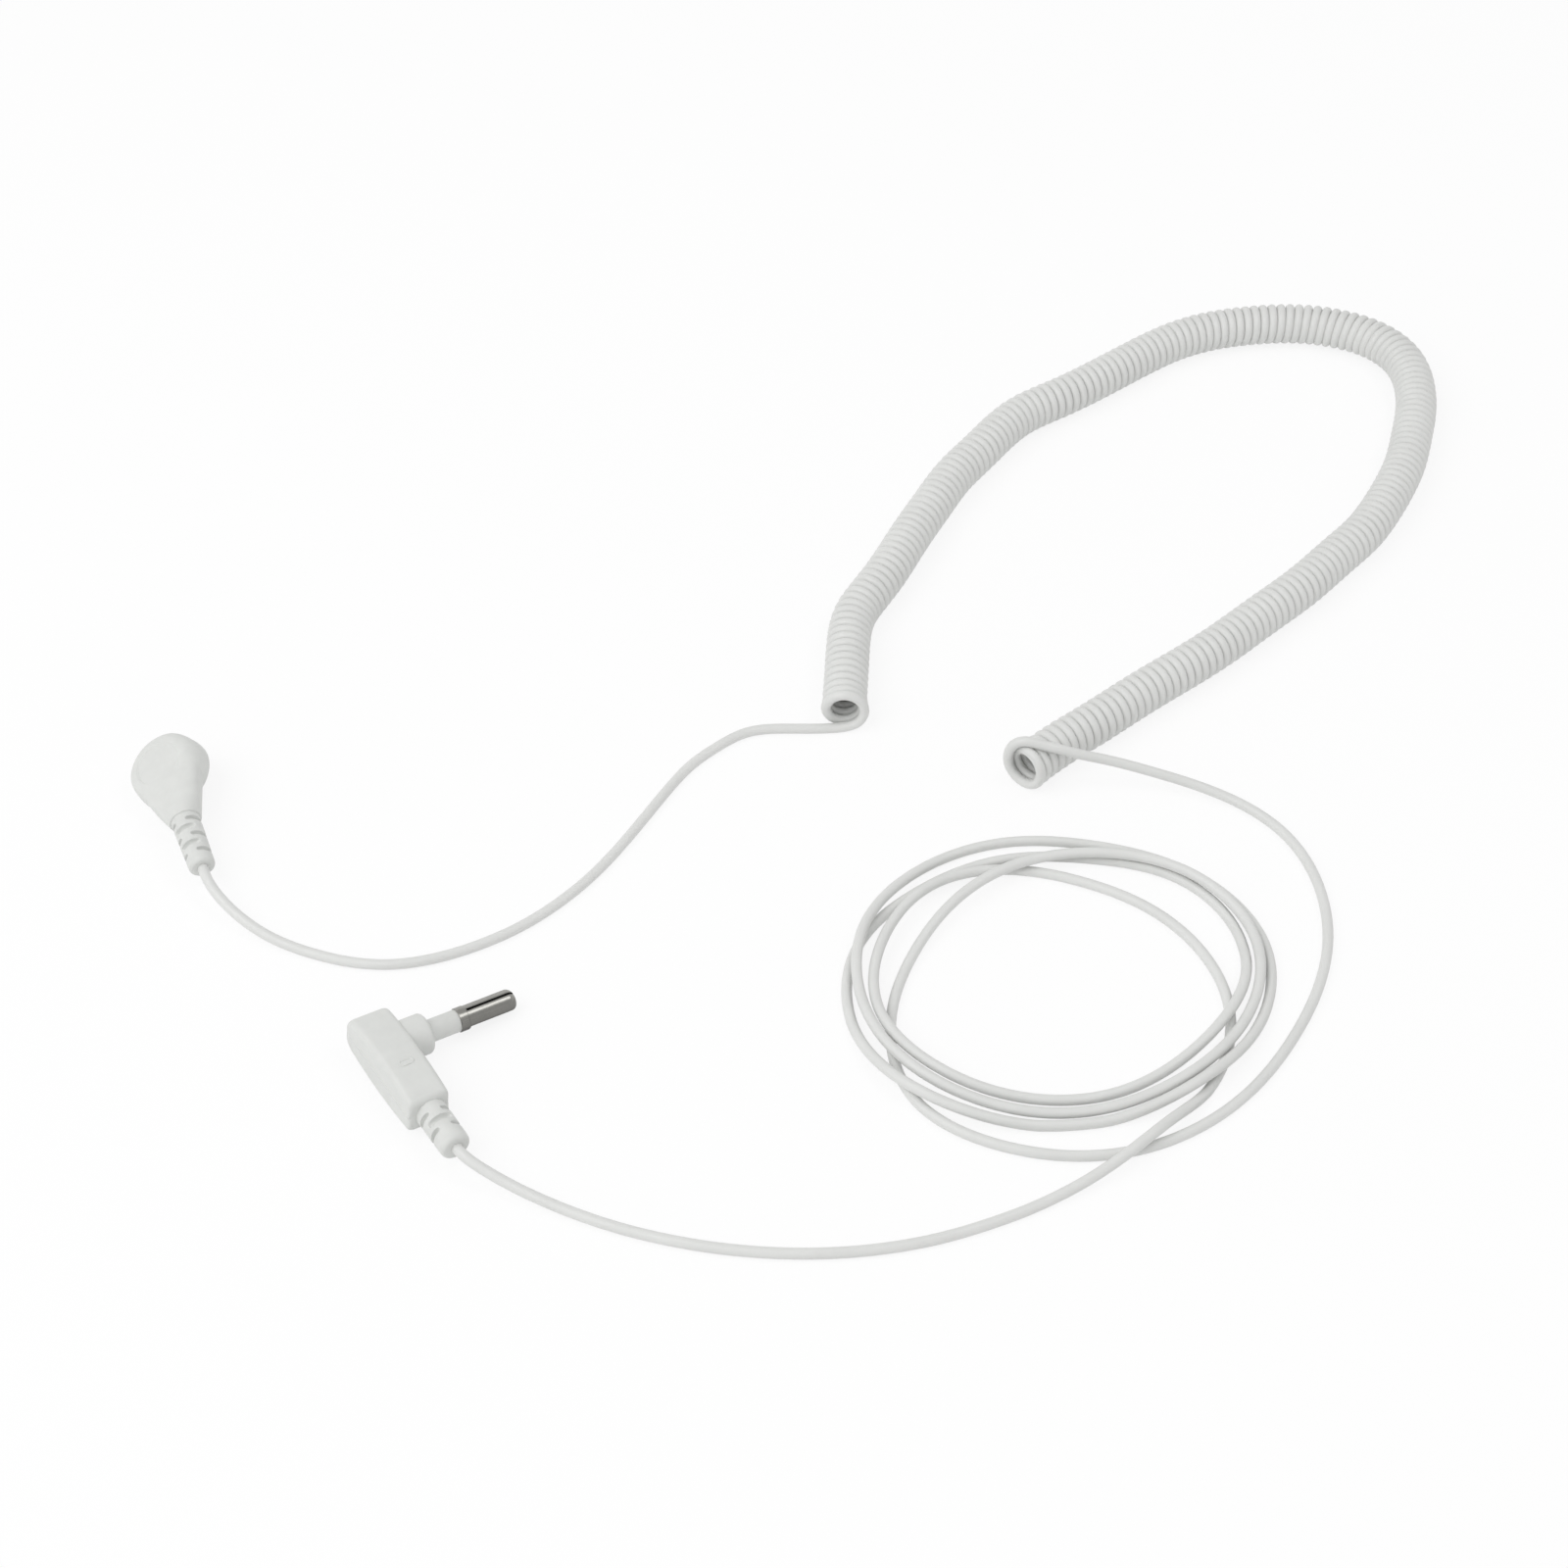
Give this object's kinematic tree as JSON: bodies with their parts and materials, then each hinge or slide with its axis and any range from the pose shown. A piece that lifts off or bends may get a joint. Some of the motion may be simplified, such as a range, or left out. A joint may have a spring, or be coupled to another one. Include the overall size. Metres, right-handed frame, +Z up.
{
  "type": "esd wrist strap cord",
  "caption": "Curly ground cord for a wrist strap: a moulded snap end with a resistor in its neck, a loosely looped lead and a right-angle banana plug.",
  "frame": {"origin": "on the surface that the cord lies on, under the middle of the bounding box of the snap end; the cord and the plug on it are left out of that box", "axes": "+Z up from the surface; +X to the right and +Y away, as the cord is laid out: the snap end points its neck to -Y and a little +X, the coil runs up to the right at +X +Y, the looped lead and the plug lie at -Y"},
  "size_m": [0.2429, 0.2347, 0.0102],
  "materials": {
    "moulded_grey": "fine satin moulding",
    "relief_grey": "soft satin moulding",
    "cord_jacket": "smooth satin jacket",
    "nickel_plate": "bright nickel plate",
    "tinned_metal": "dull tin",
    "spring_steel": "drawn wire",
    "copper_strand": "bare stranded copper",
    "resistor_enamel": "dipped enamel"
  },
  "bodies": {
    "ground_cord": {"snap_head_overmould": "moulded_grey", "snap_strain_relief": "relief_grey", "stud_socket_cup": "nickel_plate", "socket_rivet": "nickel_plate", "contact_washer": "tinned_metal", "resistor_body": "resistor_enamel", "resistor_lead_front": "tinned_metal", "resistor_lead_rear": "tinned_metal", "snap_crimp_ferrule": "tinned_metal", "snap_conductor": "copper_strand", "snap_jacket_tail": "cord_jacket", "plug_shell_upper": "moulded_grey", "plug_shell_lower": "moulded_grey", "pin_insulator": "moulded_grey", "contact_shank": "nickel_plate", "contact_tube": "nickel_plate", "plug_crimp_ferrule": "tinned_metal", "plug_conductor": "copper_strand", "plug_jacket_tail": "cord_jacket", "plug_strain_relief": "relief_grey", "snap_lead": "cord_jacket", "coiled_section": "cord_jacket", "plug_lead": "cord_jacket"},
    "left_wire": {"spring_wire_left": "spring_steel"},
    "right_wire": {"spring_wire_right": "spring_steel"}
  },
  "joints": [
    {"name": "left_wire_spread", "type": "slide", "parent": "ground_cord", "child": "left_wire", "axis": [0.8339, 0.3151, 0.4531], "range_m": [0, 0.0003], "stiffness_N_per_m": 1500},
    {"name": "right_wire_spread", "type": "slide", "parent": "ground_cord", "child": "right_wire", "axis": [-0.8339, -0.3151, -0.4531], "range_m": [0, 0.0003], "stiffness_N_per_m": 1500}
  ]
}
